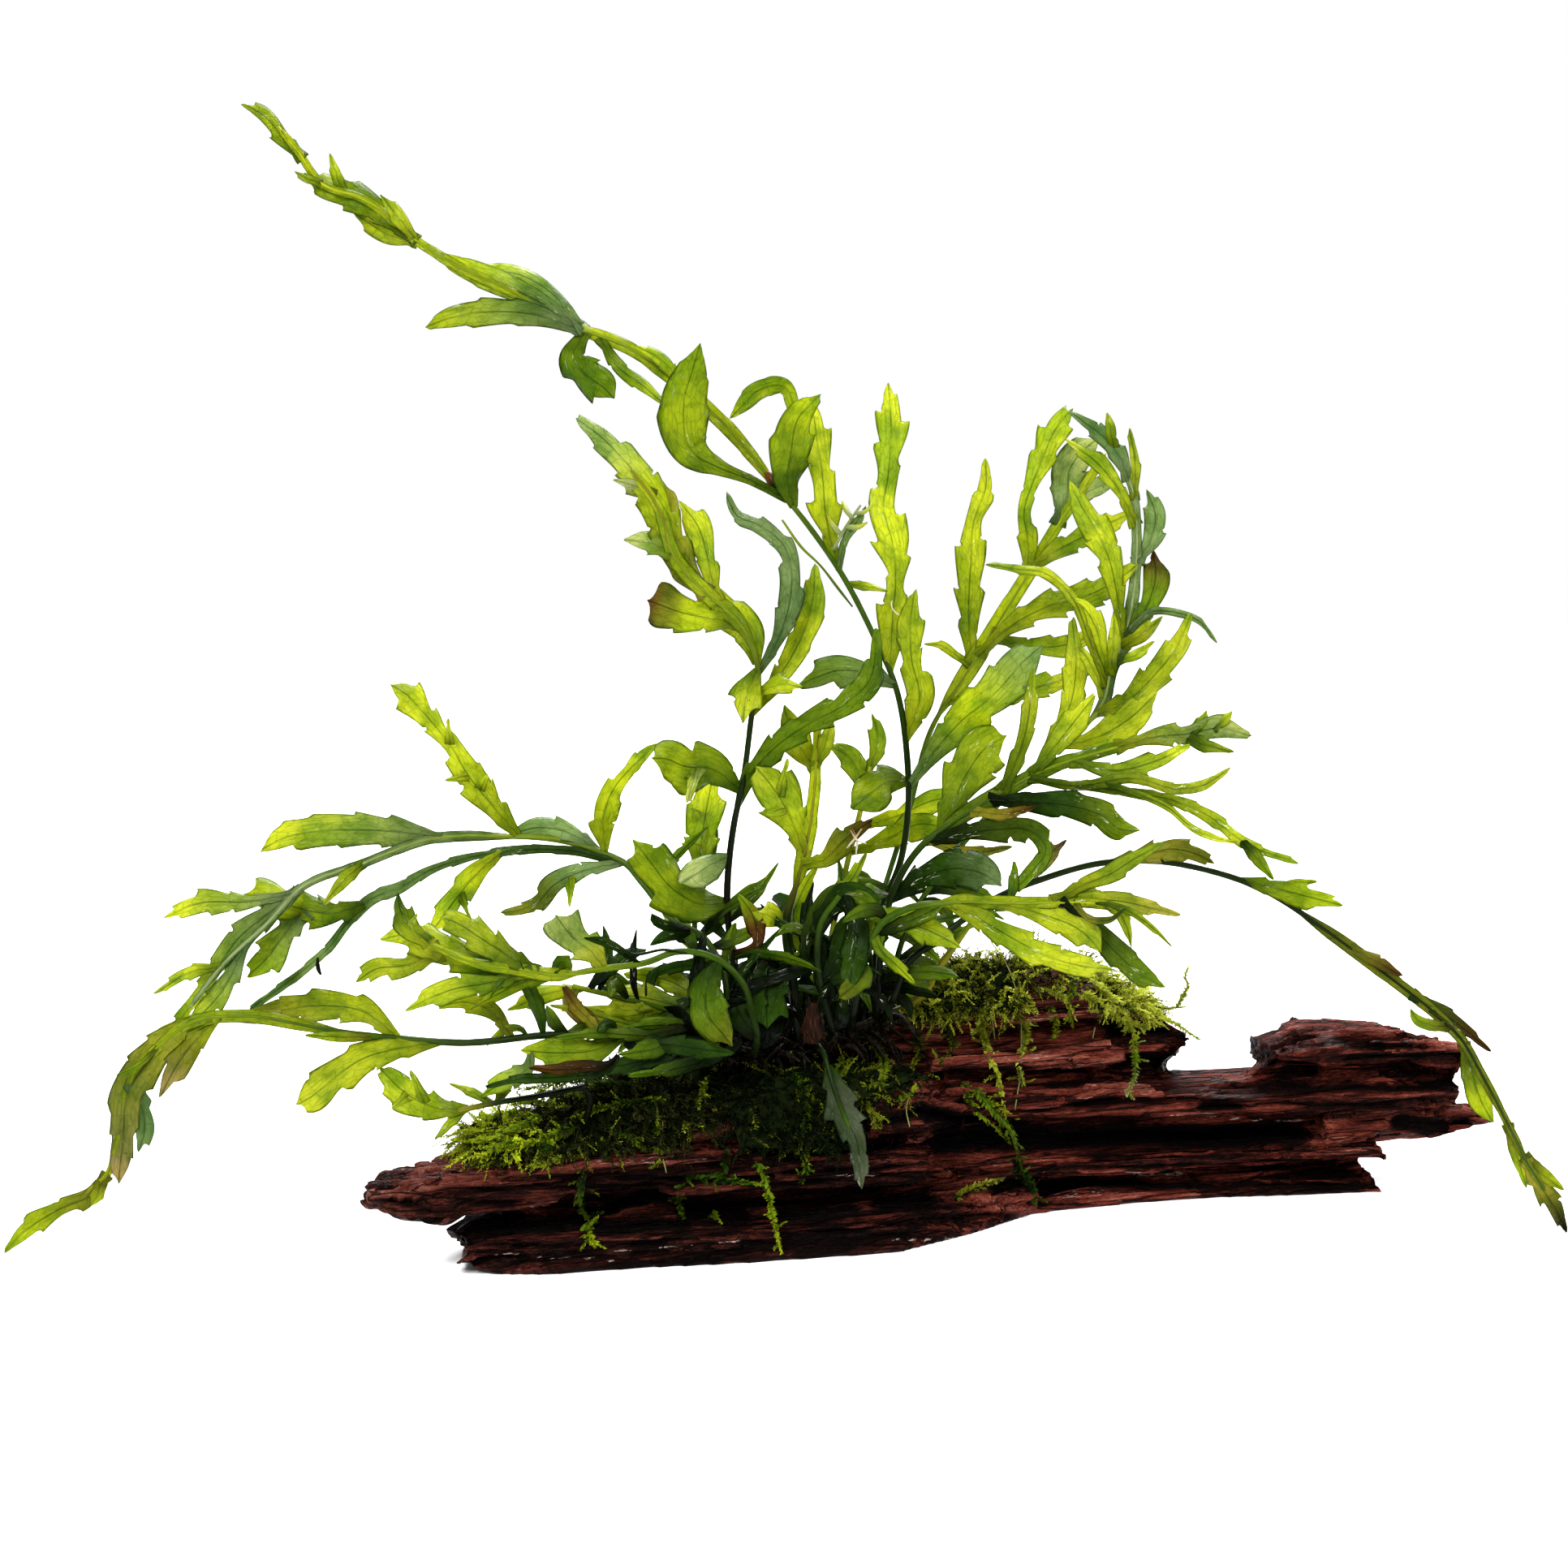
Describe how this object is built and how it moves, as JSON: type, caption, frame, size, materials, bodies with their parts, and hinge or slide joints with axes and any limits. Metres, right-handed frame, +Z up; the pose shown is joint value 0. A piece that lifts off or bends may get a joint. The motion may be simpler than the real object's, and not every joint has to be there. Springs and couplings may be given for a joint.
{
  "type": "african water fern on driftwood",
  "caption": "Aquatic fern with long toothed pinnate fronds, growing from a creeping rhizome and mats of moss on top of a split driftwood log that rests on its flat underside.",
  "frame": {"origin": "on the log's flat underside, below the fern's rhizome", "axes": "+X along the log towards its thin right-hand end, +Y to the back, +Z up"},
  "size_m": [0.2759, 0.1063, 0.1972],
  "materials": {
    "driftwood": "wet, dark red-brown, split along the grain",
    "rhizome": "dark scaly stem",
    "dry_scale": "dry papery brown scale",
    "moss": "soft wet moss",
    "frond": "thin yellow-green leaves, wet gloss, dark stems"
  },
  "bodies": {
    "root": {"driftwood": "driftwood", "rhizome": "rhizome", "brown_scale": "dry_scale", "moss_left": "moss", "moss_front": "moss", "moss_back": "moss", "moss_right": "moss", "moss_strand_front": "moss", "moss_strand_middle": "moss", "moss_strand_right": "moss", "frond_tall": "frond", "frond_left_upright": "frond", "frond_left_long": "frond", "frond_left_low": "frond", "frond_left_lobed": "frond", "frond_left_small": "frond", "frond_behind_left": "frond", "frond_centre": "frond", "frond_centre_behind": "frond", "frond_centre_curled": "frond", "frond_right_glossy": "frond", "frond_right_low": "frond", "frond_right_arching": "frond", "frond_right_high": "frond", "frond_back_right": "frond", "frond_near_right": "frond", "leaf_lower_left": "frond", "leaf_hanging": "frond"}
  },
  "joints": []
}
